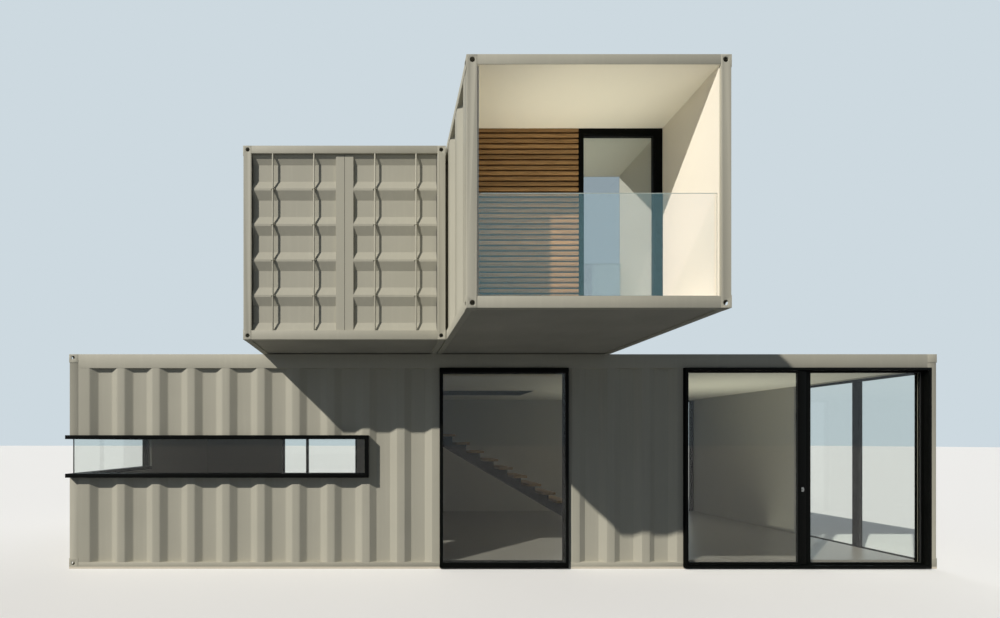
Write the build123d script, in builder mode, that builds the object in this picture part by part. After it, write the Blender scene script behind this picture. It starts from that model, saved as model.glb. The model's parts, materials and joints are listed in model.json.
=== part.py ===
"""A two-storey house made of shipping containers.

Two long boxes stand side by side and make the ground storey. Two short boxes lie across them:
the left one keeps its cargo doors, and the right one reaches further out and ends in a terrace.
The frame is X to the right, Y to the back and Z up, with the origin at ground level, in the middle
of the ground storey's plan. All sizes are in millimetres.
"""

import os
from math import atan2, tan

from build123d import *

# Boxes
box_width = 2438
long_length = 12192
short_length = 6058
ground_height = 3015
upper_height = 2330
seam_gap = 10

# Steel frame of every box
casting_height = 118
casting_wall = 10
casting_hole = 50
casting_hole_from_side = 55
casting_hole_from_end = 48
casting_hole_sides = 10
post_setback = 5
post_wall = 6
rail_depth = 70
rail_wall = 5
sheet = 3

# Ground storey
slab_height = 30
ground_post = 130
ground_top_rail = 195
ground_bottom_rail = 60
floor_top = 90
ceiling_thickness = 12
lining = 15
wall_depth = 150
frame_depth = 100
roof_drop = 10

# Corrugation of the long walls
long_pitch = 492
long_crest = 106
long_slope = 97
long_depth = 50
crest_setback = 2
front_shift = 40

# Corrugation of the short boxes' walls
short_pitch = 480
short_crest = 130
short_slope = 86
short_depth = 50

# Corrugation of the roofs
roof_pitch = 560
roof_crest = 430
roof_slope = 18
roof_depth = 20

# Ribbon window round the front left corner, from the left end and the front face
ribbon_right = 4210
ribbon_return = 2015
ribbon_sill = 1285
ribbon_head = 1876
ribbon_bar = 55
ribbon_proud_front = 85
ribbon_glass_set = 35

# Fixed window from floor to ceiling, from the left end
tall_left = 5205
tall_right = 7003
tall_bar = 40
tall_top_bar = 73
tall_bottom_bar = 76
tall_proud = 42
tall_glass_set = 8
flange_foot = 21

# Sliding door, from the right end
door_width = 3435
door_right_inset = ground_post
door_bar = 30
door_top_bar = 35
door_bottom_bar = 32
door_proud = 50
door_meeting = 1703
leaf_set_forward = 30
leaf_depth = 46
leaf_rail = 22
leaf_edge_stile = 20
leaf_meeting_stile = 112
fixed_meeting_stile = 130
leaf_gap = 12
leaf_side_gap = 6
leaf_overlap = 16
leaf_foot = 8
track_height = 10
track_width = 8
roller_diameter = 26
roller_width = 14
roller_inset = 200
roller_clear = 0.3
lock_level = 1117
lock_width = 30
lock_length = 60
lock_plate = 5
lock_knob = 14
lock_knob_diameter = 22

# Right end glazing, from the front face
end_glass_right = 2070
end_bar = 60
end_mullion = 80
end_mullion_middle = 1020

# Openings of the back wall: the window from the left end, the glazing from the right end
back_window_left = 1960
back_window_width = 1860
back_window_mullion = 618
back_window_sill = 912
back_window_head = 2062
back_glazing_width = 3190
back_glazing_inset = ground_post
back_bar = 60
window_setback = 10

# Glass
glass = 12

# Stair
stair_treads = 17
stair_going = 289
stair_first = 8780
stair_front = 2800
stair_width = 900
tread_depth = 270
tread_thickness = 50
spine_width = 120
spine_depth = 160
well_right = 7480
well_margin = 50
passage_height = 2000

# Short boxes, from the left end and the front face
left_box_left = 2722
left_box_front = -924
party_gap = 3
right_box_front = -2217
short_post = 100
short_top_rail = 92
short_bottom_rail = 110
short_floor = 95
short_lining = 18
thin_lining = 6
lining_set_back = 20
rear_lining_inset = 150
short_roof_drop = 12

# Cargo doors
door_stile = 103
door_setback = 25
door_depth = 40
door_crest = 25
door_slope = 102
door_clear = 5
recesses = 5
rod_diameter = 22
rod_sides = 12
rod_inner = 367
rod_outer = 863
rod_stand_off = 4
bracket_width = 50
bracket_height = 12

# Terrace
terrace_depth = 857
slat_pitch = 59.3
slat_height = 39
slat_depth = 30
slat_batten = 20
slat_count = 36
terrace_door_width = 929
terrace_bar = 57
terrace_top_bar = 66
terrace_side_bar = 87
terrace_frame_depth = 80
balustrade_height = 966
balustrade_set = 20

# Places that follow from the sizes above
left_end = -long_length / 2
right_end = long_length / 2
front_face = -(box_width + seam_gap / 2)
back_face = box_width + seam_gap / 2
wall_top = ground_height - ground_top_rail
wall_bottom = slab_height + ground_bottom_rail
ceiling_bottom = wall_top - ceiling_thickness
upper_top = ground_height + upper_height
upper_floor = ground_height + short_bottom_rail
passage_top = upper_floor + passage_height

os.makedirs("parts", exist_ok=True)


def keep(piece, name):
    """Names a finished piece and writes it to its own file."""
    piece.part.label = name
    export_step(piece.part, f"parts/{name}.step")


def block(low, high, mode=Mode.ADD):
    """A box between two opposite corners, added to the part being built."""
    middle = [(a + b) / 2 for a, b in zip(low, high)]
    with Locations(tuple(middle)):
        Box(*[b - a for a, b in zip(low, high)], mode=mode)


def tube(low, high, wall, along):
    """A rectangular steel tube between two opposite corners, open at the ends of its long axis."""
    block(low, high)
    inner_low = [a if i == along else a + wall for i, a in enumerate(low)]
    inner_high = [b if i == along else b - wall for i, b in enumerate(high)]
    block(inner_low, inner_high, mode=Mode.SUBTRACT)


def wave(start, clear, pitch, crest, slope, depth, shift=0):
    """Corner points of a corrugated sheet's inner and outer side, crest outwards at depth zero."""
    count = int(clear // pitch)
    margin = (clear - count * pitch) / 2 + shift
    mitre = sheet * tan(atan2(depth, slope) / 2)
    outer, inner = [(start, 0)], [(start, sheet)]
    for number in range(count):
        at = start + margin + number * pitch
        corners = [crest / 2, crest / 2 + slope, pitch - crest / 2 - slope, pitch - crest / 2]
        heights = [0, depth, depth, 0]
        shifts = [-mitre, -mitre, mitre, mitre]
        for corner, height, shift in zip(corners, heights, shifts):
            outer.append((at + corner, height))
            inner.append((at + corner + shift, height + sheet))
    outer.append((start + clear, 0))
    inner.append((start + clear, sheet))
    return outer + inner[::-1]


def corrugated(plane, start, clear, span, rise, shape):
    """A stretch of corrugated sheet: span along the wall, rise up it, cut from the whole wall's wave."""
    with BuildSketch(plane.offset(rise[0])) as profile:
        with BuildLine():
            Polyline(*wave(start, clear, *shape), close=True)
        make_face()
        reach = shape[3] + 2 * sheet
        with Locations(((span[0] + span[1]) / 2, 0)):
            Rectangle(span[1] - span[0], 4 * reach, mode=Mode.INTERSECT)
    extrude(profile.sketch, amount=rise[1] - rise[0])


def wall_plane(side, face):
    """A plane seen from above, with X along a wall and Y from its outer face inwards."""
    if side == "front":
        return Plane(origin=(0, face + crest_setback, 0), x_dir=(1, 0, 0), z_dir=(0, 0, 1))
    if side == "back":
        return Plane(origin=(0, face - crest_setback, 0), x_dir=(-1, 0, 0), z_dir=(0, 0, 1))
    if side == "left":
        return Plane(origin=(face + crest_setback, 0, 0), x_dir=(0, -1, 0), z_dir=(0, 0, 1))
    return Plane(origin=(face - crest_setback, 0, 0), x_dir=(0, 1, 0), z_dir=(0, 0, 1))


long_shape = (long_pitch, long_crest, long_slope, long_depth)
front_shape = (*long_shape, front_shift)
short_shape = (short_pitch, short_crest, short_slope, short_depth)
roof_shape = (roof_pitch, roof_crest, roof_slope, roof_depth)


def casting(corner, outwards, post, bottom, hole_level):
    """A hollow corner casting with a hole in each outer face. outwards gives the sign of x and y."""
    inner = [c - sign * post for c, sign in zip(corner, outwards)]
    low = [min(a, b) for a, b in zip(corner, inner)] + [bottom]
    high = [max(a, b) for a, b in zip(corner, inner)] + [bottom + casting_height]
    block(low, high)
    block([a + casting_wall for a in low], [b - casting_wall for b in high], mode=Mode.SUBTRACT)
    hole = [c - sign * casting_hole_from_side for c, sign in zip(corner, outwards)]
    faces = [Plane(origin=(corner[0], hole[1], hole_level), z_dir=(-outwards[0], 0, 0))]
    if corner != (right_end, front_face):
        faces.append(Plane(origin=(hole[0], corner[1], hole_level), z_dir=(0, -outwards[1], 0)))
    with BuildSketch(*faces) as holes:
        RegularPolygon(casting_hole / 2, casting_hole_sides)
    extrude(holes.sketch, amount=casting_wall, mode=Mode.SUBTRACT)


def corner_post(corner, outwards, post, setback, bottom, top, breaks=()):
    """A hollow corner post between its two castings. breaks are heights left open by a window."""
    outer = [c - sign * back for c, sign, back in zip(corner, outwards, setback)]
    inner = [c - sign * post for c, sign in zip(corner, outwards)]
    low = [min(a, b) for a, b in zip(outer, inner)]
    high = [max(a, b) for a, b in zip(outer, inner)]
    levels = [bottom + casting_height, *breaks, top - casting_height]
    for start, end in zip(levels[::2], levels[1::2]):
        tube(low + [start], high + [end], post_wall, 2)
    casting(corner, outwards, post, bottom, bottom + casting_hole_from_end)
    casting(corner, outwards, post, top - casting_height, top - casting_hole_from_end)


def notch_corners(corners, post, bottom, top):
    """Cuts the places of a box's corner posts out of the part being built."""
    for corner, outwards in corners:
        inner = [c - sign * post for c, sign in zip(corner, outwards)]
        low = [min(a, b) for a, b in zip(corner, inner)] + [bottom]
        high = [max(a, b) for a, b in zip(corner, inner)] + [top]
        block(low, high, mode=Mode.SUBTRACT)


def frame_bar(low, high, along):
    """One hollow rail of a box's steel frame."""
    tube(low, high, rail_wall, along)


# Ground storey: slab, posts and rails
with BuildPart() as foundation_slab:
    block((left_end, front_face, 0), (right_end, back_face, slab_height))
keep(foundation_slab, "foundation_slab")

ground_corners = []
for end, sign in ((left_end, -1), (right_end, 1)):
    ground_corners.append(((end, front_face), (sign, -1)))
    ground_corners.append(((end, -seam_gap / 2), (sign, 1)))
    ground_corners.append(((end, seam_gap / 2), (sign, -1)))
    ground_corners.append(((end, back_face), (sign, 1)))

with BuildPart() as ground_posts:
    for corner, outwards in ground_corners:
        at_ribbon = corner == (left_end, front_face)
        breaks = (ribbon_sill, ribbon_head) if at_ribbon else ()
        setback = (post_setback, post_setback)
        corner_post(corner, outwards, ground_post, setback, slab_height, ground_height, breaks)
keep(ground_posts, "ground_corner_posts")

# Openings of the ground storey as model coordinates
ribbon_x = left_end + ribbon_right
ribbon_y = front_face + ribbon_return
tall_x = (left_end + tall_left, left_end + tall_right)
door_x = (right_end - door_right_inset - door_width, right_end - door_right_inset)
window_x = (left_end + back_window_left, left_end + back_window_left + back_window_width)
glazed_x = (right_end - back_glazing_inset - back_glazing_width, right_end - back_glazing_inset)
end_y = (front_face + ground_post, front_face + end_glass_right)
front_rail = (front_face, front_face + rail_depth)
back_rail = (back_face - rail_depth, back_face)
left_rail = (left_end, left_end + rail_depth)
right_rail = (right_end - rail_depth, right_end)
post_x = (left_end + ground_post, right_end - ground_post)
post_gap = ground_post + seam_gap / 2
front_bay = (front_face + ground_post, -post_gap)
back_bay = (post_gap, back_face - ground_post)

with BuildPart() as ground_bottom_rails:
    levels = (slab_height, wall_bottom)
    for start, end in ((post_x[0], tall_x[0]), (tall_x[1], door_x[0])):
        frame_bar((start, front_rail[0], levels[0]), (end, front_rail[1], levels[1]), 0)
    start, end = post_x[0], glazed_x[0]
    frame_bar((start, back_rail[0], levels[0]), (end, back_rail[1], levels[1]), 0)
    for start, end in (front_bay, back_bay):
        frame_bar((left_rail[0], start, levels[0]), (left_rail[1], end, levels[1]), 1)
    for start, end in ((end_y[1], front_bay[1]), back_bay):
        frame_bar((right_rail[0], start, levels[0]), (right_rail[1], end, levels[1]), 1)
keep(ground_bottom_rails, "ground_bottom_rails")

with BuildPart() as ground_top_rails:
    for low_y, high_y in (front_rail, back_rail):
        frame_bar((post_x[0], low_y, wall_top), (post_x[1], high_y, ground_height), 0)
    for low_x, high_x in (left_rail, right_rail):
        for start, end in (front_bay, back_bay):
            frame_bar((low_x, start, wall_top), (high_x, end, ground_height), 1)
keep(ground_top_rails, "ground_top_rails")

with BuildPart() as seam_beams:
    for near in (-1, 1):
        edges = sorted((near * seam_gap / 2, near * (seam_gap / 2 + rail_depth)))
        frame_bar((post_x[0], edges[0], wall_top), (post_x[1], edges[1], ground_height), 0)
keep(seam_beams, "ground_seam_beams")

# Corrugated walls of the ground storey
long_clear = long_length - 2 * ground_post
end_clear = box_width - 2 * ground_post
wall_rise = (wall_bottom, wall_top)


def front_panel(span, rise):
    """A stretch of the front wall's sheet."""
    corrugated(wall_plane("front", front_face), post_x[0], long_clear, span, rise, front_shape)


def back_panel(span, rise):
    """A stretch of the back wall's sheet."""
    seen = (-span[1], -span[0])
    corrugated(wall_plane("back", back_face), -post_x[1], long_clear, seen, rise, long_shape)


with BuildPart() as front_ribbon_panels:
    front_panel((post_x[0], ribbon_x), (ribbon_head, wall_top))
    front_panel((post_x[0], ribbon_x), (wall_bottom, ribbon_sill))
keep(front_ribbon_panels, "front_panels_at_ribbon")

with BuildPart() as front_piers:
    front_panel((ribbon_x, tall_x[0]), wall_rise)
    front_panel((tall_x[1], door_x[0]), wall_rise)
keep(front_piers, "front_piers")

with BuildPart() as back_panels:
    back_panel((post_x[0], window_x[0]), wall_rise)
    back_panel((window_x[1], glazed_x[0]), wall_rise)
keep(back_panels, "back_panels")

with BuildPart() as back_window_panels:
    back_panel(window_x, (wall_bottom, back_window_sill))
    back_panel(window_x, (back_window_head, wall_top))
keep(back_window_panels, "back_panels_at_window")


def end_panel(side, bay, span, rise):
    """Corrugated sheet of an end wall, between the posts of one box."""
    face, turn = (left_end, -1) if side == "left" else (right_end, 1)
    start = min(turn * bay[0], turn * bay[1])
    seen = sorted((turn * span[0], turn * span[1]))
    corrugated(wall_plane(side, face), start, end_clear, seen, rise, long_shape)


with BuildPart() as left_ribbon_panels:
    for rise in ((wall_bottom, ribbon_sill), (ribbon_head, wall_top)):
        end_panel("left", front_bay, (front_bay[0], ribbon_y), rise)
keep(left_ribbon_panels, "left_end_panels_at_ribbon")

with BuildPart() as end_panels:
    end_panel("left", front_bay, (ribbon_y, front_bay[1]), wall_rise)
    end_panel("left", back_bay, back_bay, wall_rise)
    end_panel("right", front_bay, (end_y[1], front_bay[1]), wall_rise)
    end_panel("right", back_bay, back_bay, wall_rise)
keep(end_panels, "end_wall_panels")

# Ribbon window: a box frame that turns the corner, and two panes that meet there
ribbon_out_y = front_face - ribbon_proud_front
inside_x = left_end + frame_depth
inside_y = front_face + frame_depth
ribbon_rise = (ribbon_sill + ribbon_bar, ribbon_head - ribbon_bar)
with BuildPart() as ribbon_frame:
    for low, high, depth in (
        (ribbon_sill, ribbon_rise[0], wall_depth),
        (ribbon_rise[1], ribbon_head, frame_depth),
    ):
        block((left_end, ribbon_out_y, low), (ribbon_x, front_face + depth, high))
        block((left_end, ribbon_out_y, low), (left_end + depth, ribbon_y, high))
    low, high = ribbon_rise
    block((ribbon_x - ribbon_bar, ribbon_out_y, low), (ribbon_x, inside_y, high))
    block((left_end, ribbon_y - ribbon_bar, low), (inside_x, ribbon_y, high))
keep(ribbon_frame, "ribbon_window_frame")

ribbon_pane_y = (front_face + ribbon_glass_set, front_face + ribbon_glass_set + glass)
ribbon_pane_x = (left_end + ribbon_glass_set, left_end + ribbon_glass_set + glass)
with BuildPart() as ribbon_glass:
    low, high = ribbon_rise
    block((ribbon_pane_x[0], ribbon_pane_y[0], low), (ribbon_x - ribbon_bar, ribbon_pane_y[1], high))
    block((ribbon_pane_x[0], ribbon_pane_y[0], low), (ribbon_pane_x[1], ribbon_y - ribbon_bar, high))
keep(ribbon_glass, "ribbon_window_glass")


def flanged_frame(span, bars, proud):
    """A window frame in the front wall: its outer flange hangs over the slab's edge in front of the wall."""
    side, top, bottom = bars
    body = (slab_height, wall_top)
    flange_y = front_face - proud
    block((span[0], flange_y, flange_foot), (span[1], front_face, body[1]))
    block((span[0], front_face, body[0]), (span[1], inside_y, body[1]))
    block(
        (span[0] + side, flange_y, flange_foot + bottom),
        (span[1] - side, inside_y, body[1] - top),
        mode=Mode.SUBTRACT,
    )
    return (span[0] + side, span[1] - side), (flange_foot + bottom, body[1] - top)


with BuildPart() as tall_frame:
    tall_span, tall_rise = flanged_frame(tall_x, (tall_bar, tall_top_bar, tall_bottom_bar), tall_proud)
keep(tall_frame, "tall_window_frame")

with BuildPart() as tall_glass:
    pane = front_face - tall_proud + tall_glass_set
    block((tall_span[0], pane, tall_rise[0]), (tall_span[1], pane + glass, tall_rise[1]))
keep(tall_glass, "tall_window_glass")

# Sliding door: a frame with a rail for the moving leaf, and a fixed leaf behind it
moving_leaf_y = (front_face - leaf_set_forward, front_face - leaf_set_forward + leaf_depth)
fixed_leaf_y = (moving_leaf_y[1] + leaf_gap, moving_leaf_y[1] + leaf_gap + leaf_depth)
moving_middle = (moving_leaf_y[0] + moving_leaf_y[1]) / 2
with BuildPart() as door_frame:
    door_bars = (door_bar, door_top_bar, door_bottom_bar)
    door_span, door_rise = flanged_frame(door_x, door_bars, door_proud)
    low = (door_span[0], moving_middle - track_width / 2, door_rise[0])
    block(low, (door_span[1], moving_middle + track_width / 2, door_rise[0] + track_height))
keep(door_frame, "sliding_door_frame")

meeting_x = door_x[0] + door_meeting
fixed_leaf_x = (meeting_x - leaf_overlap, door_span[1])
moving_leaf_x = (door_span[0] + leaf_side_gap, meeting_x)
track_top = door_rise[0] + track_height
moving_leaf_z = (track_top + leaf_foot, door_rise[1] - leaf_foot)


def leaf(span, depth, rise, stiles, rails):
    """A glazed door leaf's frame. stiles are left and right, rails are bottom and top."""
    block((span[0], depth[0], rise[0]), (span[1], depth[1], rise[1]))
    block(
        (span[0] + stiles[0], depth[0], rise[0] + rails[0]),
        (span[1] - stiles[1], depth[1], rise[1] - rails[1]),
        mode=Mode.SUBTRACT,
    )


def leaf_pane(span, depth, rise, stiles, rails):
    """The pane that fills a leaf's frame."""
    middle = (depth[0] + depth[1]) / 2
    block(
        (span[0] + stiles[0], middle - glass / 2, rise[0] + rails[0]),
        (span[1] - stiles[1], middle + glass / 2, rise[1] - rails[1]),
    )


moving_stiles = (leaf_edge_stile, leaf_meeting_stile)
fixed_stiles = (fixed_meeting_stile, leaf_edge_stile)
leaf_rails = (leaf_rail, leaf_rail)
with BuildPart() as fixed_leaf:
    leaf(fixed_leaf_x, fixed_leaf_y, door_rise, fixed_stiles, leaf_rails)
keep(fixed_leaf, "fixed_leaf_frame")
with BuildPart() as fixed_glass:
    leaf_pane(fixed_leaf_x, fixed_leaf_y, door_rise, fixed_stiles, leaf_rails)
keep(fixed_glass, "fixed_leaf_glass")
with BuildPart() as moving_leaf:
    leaf(moving_leaf_x, moving_leaf_y, moving_leaf_z, moving_stiles, leaf_rails)
    roller_z = track_top + roller_clear + roller_diameter / 2
    for roller_x in (moving_leaf_x[0] + roller_inset, moving_leaf_x[1] - roller_inset):
        with Locations(Location((roller_x, moving_middle, roller_z), (90, 0, 0))):
            Cylinder(roller_diameter / 2, roller_width)
keep(moving_leaf, "sliding_leaf_frame")
with BuildPart() as moving_glass:
    leaf_pane(moving_leaf_x, moving_leaf_y, moving_leaf_z, moving_stiles, leaf_rails)
keep(moving_glass, "sliding_leaf_glass")

with BuildPart() as door_lock:
    plate_x = moving_leaf_x[1] - leaf_meeting_stile / 2
    low = (plate_x - lock_width / 2, moving_leaf_y[0] - lock_plate, lock_level - lock_length / 2)
    block(low, (plate_x + lock_width / 2, moving_leaf_y[0], lock_level + lock_length / 2))
    knob_y = moving_leaf_y[0] - lock_plate - lock_knob / 2
    with Locations(Location((plate_x, knob_y, lock_level), (90, 0, 0))):
        Cylinder(lock_knob_diameter / 2, lock_knob)
keep(door_lock, "sliding_leaf_lock")


def pane_frame(low, high, axis, bars, uprights=(), transoms=()):
    """A frame round an opening that is flat across axis, with uprights and transoms in it."""
    side, top, bottom = bars
    along = 1 - axis
    block(low, high)
    edges = [low[along], *[e for bar in uprights for e in bar], high[along]]
    edges[0] += side
    edges[-1] -= side
    levels = [low[2] + bottom, *[e for bar in transoms for e in bar], high[2] - top]
    for start, end in zip(edges[::2], edges[1::2]):
        for under, over in zip(levels[::2], levels[1::2]):
            cut_low, cut_high = list(low), list(high)
            cut_low[along], cut_high[along] = start, end
            cut_low[2], cut_high[2] = under, over
            block(cut_low, cut_high, mode=Mode.SUBTRACT)


def pane_fill(low, high, axis, bars, uprights=(), transoms=()):
    """The panes that fill such a frame."""
    side, top, bottom = bars
    along = 1 - axis
    middle = (low[axis] + high[axis]) / 2
    edges = [low[along], *[e for bar in uprights for e in bar], high[along]]
    edges[0] += side
    edges[-1] -= side
    levels = [low[2] + bottom, *[e for bar in transoms for e in bar], high[2] - top]
    for start, end in zip(edges[::2], edges[1::2]):
        for under, over in zip(levels[::2], levels[1::2]):
            pane_low, pane_high = [0, 0, under], [0, 0, over]
            pane_low[axis], pane_high[axis] = middle - glass / 2, middle + glass / 2
            pane_low[along], pane_high[along] = start, end
            block(pane_low, pane_high)


# Glazing of the right end wall
end_low = (right_end - frame_depth, end_y[0], slab_height)
end_high = (right_end - window_setback, end_y[1], wall_top)
end_post = front_face + end_mullion_middle
end_uprights = ((end_post - end_mullion / 2, end_post + end_mullion / 2),)
end_bars = (end_bar, end_bar, floor_top - slab_height)
with BuildPart() as end_frame:
    pane_frame(end_low, end_high, 0, end_bars, end_uprights)
keep(end_frame, "right_end_window_frame")
with BuildPart() as end_glass:
    pane_fill(end_low, end_high, 0, end_bars, end_uprights)
keep(end_glass, "right_end_window_glass")

# Glazing of the back wall
glazed_low = (glazed_x[0], back_face - frame_depth, slab_height)
glazed_high = (glazed_x[1], back_face - window_setback, wall_top)
glazed_middle = (glazed_x[0] + glazed_x[1]) / 2
glazed_uprights = ((glazed_middle - back_bar / 2, glazed_middle + back_bar / 2),)
glazed_bars = (back_bar, back_bar, floor_top - slab_height)
with BuildPart() as back_frame:
    pane_frame(glazed_low, glazed_high, 1, glazed_bars, glazed_uprights)
keep(back_frame, "back_glazing_frame")
with BuildPart() as back_glass:
    pane_fill(glazed_low, glazed_high, 1, glazed_bars, glazed_uprights)
keep(back_glass, "back_glazing_glass")

window_low = (window_x[0], back_face - frame_depth, back_window_sill)
window_high = (window_x[1], back_face - window_setback, back_window_head)
window_middle = window_x[0] + back_window_mullion
window_uprights = ((window_middle - back_bar / 2, window_middle + back_bar / 2),)
window_bars = (back_bar, back_bar, back_bar)
with BuildPart() as window_frame:
    pane_frame(window_low, window_high, 1, window_bars, window_uprights)
keep(window_frame, "back_window_frame")
with BuildPart() as window_glass:
    pane_fill(window_low, window_high, 1, window_bars, window_uprights)
keep(window_glass, "back_window_glass")

# Floor, ceiling and lining of the ground storey
room_x = (left_end + wall_depth, right_end - wall_depth)
room_y = (front_face + wall_depth, back_face - wall_depth)
with BuildPart() as ground_floor:
    block((room_x[0], room_y[0], slab_height), (room_x[1], room_y[1], floor_top))
keep(ground_floor, "ground_floor")

well_x = (left_end + stair_first - stair_treads * stair_going, left_end + well_right)
well_y = (front_face + stair_front - well_margin, front_face + stair_front + stair_width + well_margin)
with BuildPart() as ground_ceiling:
    block((room_x[0], room_y[0], ceiling_bottom), (room_x[1], room_y[1], wall_top))
    block((well_x[0], well_y[0], ceiling_bottom), (well_x[1], well_y[1], wall_top), mode=Mode.SUBTRACT)
keep(ground_ceiling, "ground_ceiling")

roof_top = ground_height - roof_drop
beam_in = seam_gap / 2 + rail_depth
roof_x = (left_rail[1], right_rail[0])
with BuildPart() as ground_roof:
    for bay in ((front_rail[1], -beam_in), (beam_in, back_rail[0])):
        with BuildSketch(Plane(origin=(0, bay[0], roof_top), x_dir=(-1, 0, 0), z_dir=(0, 1, 0))) as fold:
            with BuildLine():
                points = wave(-roof_x[1], roof_x[1] - roof_x[0], *roof_shape)
                Polyline(*[(x, -y) for x, y in points], close=True)
            make_face()
        extrude(fold.sketch, amount=bay[1] - bay[0])
        if bay[1] > well_y[0] and bay[0] < well_y[1]:
            low = (well_x[0], well_y[0], roof_top - 2 * roof_depth)
            block(low, (well_x[1], well_y[1], ground_height), mode=Mode.SUBTRACT)
    notch_corners(ground_corners, ground_post, wall_top, ground_height)
keep(ground_roof, "ground_roof")

lining_z = (floor_top, ceiling_bottom)


def wall_lining(name, axis, face, inwards, stretches, reveals):
    """Boards that line one wall: stretches of board, and frames of board round its openings.

    A reveal says with ones and zeros which of its low side, high side and bottom have a board.
    """
    along = 1 - axis
    room_face = face + inwards * wall_depth

    def slab(span, rise, depths, mode=Mode.ADD):
        low, high = [0, 0, rise[0]], [0, 0, rise[1]]
        low[along], high[along] = span
        low[axis], high[axis] = sorted(depths)
        block(low, high, mode=mode)

    with BuildPart() as boards:
        for span, rise in stretches:
            slab(span, rise, (room_face - inwards * lining, room_face))
        for span, rise, closed in reveals:
            depths = (face + inwards * frame_depth, room_face)
            slab(span, rise, depths)
            hole = (span[0] + closed[0] * lining, span[1] - closed[1] * lining)
            slab(hole, (rise[0] + closed[2] * lining, rise[1] - lining), depths, mode=Mode.SUBTRACT)
    keep(boards, name)


tall_open = (floor_top, ceiling_bottom)
ribbon_open = (ribbon_rise[0], ribbon_head)
back_open = (back_window_sill, back_window_head)
wall_lining(
    "front_lining",
    1,
    front_face,
    1,
    (
        ((room_x[0], ribbon_x), (floor_top, ribbon_sill)),
        ((room_x[0], ribbon_x), (ribbon_head, ceiling_bottom)),
        ((ribbon_x, tall_x[0]), lining_z),
        ((tall_x[1], door_x[0]), lining_z),
    ),
    (
        ((room_x[0], ribbon_x), ribbon_open, (0, 1, 0)),
        (tall_x, tall_open, (1, 1, 0)),
        ((door_x[0], room_x[1]), tall_open, (1, 0, 0)),
    ),
)
wall_lining(
    "back_lining",
    1,
    back_face,
    -1,
    (
        ((room_x[0], window_x[0]), lining_z),
        ((window_x[1], glazed_x[0]), lining_z),
        (window_x, (floor_top, back_window_sill)),
        (window_x, (back_window_head, ceiling_bottom)),
    ),
    (
        (window_x, back_open, (1, 1, 1)),
        ((glazed_x[0], room_x[1]), tall_open, (1, 0, 0)),
    ),
)
wall_lining(
    "left_lining",
    0,
    left_end,
    1,
    (
        ((room_y[0], ribbon_y), (floor_top, ribbon_sill)),
        ((room_y[0], ribbon_y), (ribbon_head, ceiling_bottom)),
        ((ribbon_y, room_y[1]), lining_z),
    ),
    (((room_y[0], ribbon_y), ribbon_open, (0, 1, 0)),),
)
wall_lining(
    "right_lining",
    0,
    right_end,
    -1,
    (((end_y[1], room_y[1]), lining_z),),
    (((room_y[0], end_y[1]), tall_open, (0, 1, 0)),),
)

# Stair: treads on one sloping spine
stair_rise = (upper_floor - floor_top) / (stair_treads + 1)
stair_x0 = left_end + stair_first
stair_y = (front_face + stair_front, front_face + stair_front + stair_width)
stair_middle = (stair_y[0] + stair_y[1]) / 2
with BuildPart() as treads:
    for number in range(1, stair_treads + 1):
        nose = stair_x0 - (number - 1) * stair_going
        top = floor_top + number * stair_rise
        block((nose - tread_depth, stair_y[0], top - tread_thickness), (nose, stair_y[1], top))
keep(treads, "stair_treads")

with BuildPart() as spine:
    with BuildSketch(Plane(origin=(0, stair_middle + spine_width / 2, 0), x_dir=(1, 0, 0), z_dir=(0, -1, 0))):
        with BuildLine():
            points = [(stair_x0, floor_top)]
            for number in range(1, stair_treads + 1):
                nose = stair_x0 - (number - 1) * stair_going
                under = floor_top + number * stair_rise - tread_thickness
                points += [(nose, under), (nose - stair_going, under)]
            head_x, head_z = points[-1]
            foot = (tread_thickness + spine_depth) * stair_going / stair_rise
            points += [(head_x, head_z - spine_depth), (stair_x0 - foot, floor_top)]
            Polyline(*points, close=True)
        make_face()
    extrude(amount=spine_width)
keep(spine, "stair_spine")


# Short boxes
def stair_passage():
    """Cuts the way of the stair out of the part being built, up to a doorway's height."""
    low = (well_x[0], well_y[0], wall_top)
    block(low, (well_x[1], well_y[1], passage_top), mode=Mode.SUBTRACT)


def box_corners(left, front):
    """The four corners of a short box and which way each looks."""
    right, back = left + box_width, front + short_length
    return (
        ((left, front), (-1, -1)),
        ((right, front), (1, -1)),
        ((right, back), (1, 1)),
        ((left, back), (-1, 1)),
    )


def short_frame(name, left, front, pocket=0):
    """Corner posts and rails of a short box, its floor rails cut at the stair.

    pocket is the height left free for a ceiling board behind the front top rail's lip.
    """
    right, back = left + box_width, front + short_length
    with BuildPart() as posts:
        for corner, outwards in box_corners(left, front):
            corner_post(corner, outwards, short_post, (post_setback, 0), ground_height, upper_top)
    keep(posts, f"{name}_corner_posts")
    inner_x = (left + short_post, right - short_post)
    inner_y = (front + short_post, back - short_post)
    with BuildPart() as rails:
        for low_z, high_z, free in (
            (ground_height, upper_floor, 0),
            (upper_top - short_top_rail, upper_top, pocket),
        ):
            frame_bar((inner_x[0], front, low_z + free), (inner_x[1], front + rail_depth, high_z), 0)
            block((inner_x[0], front, low_z), (inner_x[1], front + rail_wall, high_z))
            frame_bar((inner_x[0], back - rail_depth, low_z), (inner_x[1], back, high_z), 0)
            for low_x in (left + post_setback, right - post_setback - rail_depth):
                frame_bar((low_x, inner_y[0], low_z), (low_x + rail_depth, inner_y[1], high_z), 1)
        stair_passage()
    keep(rails, f"{name}_rails")


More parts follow.
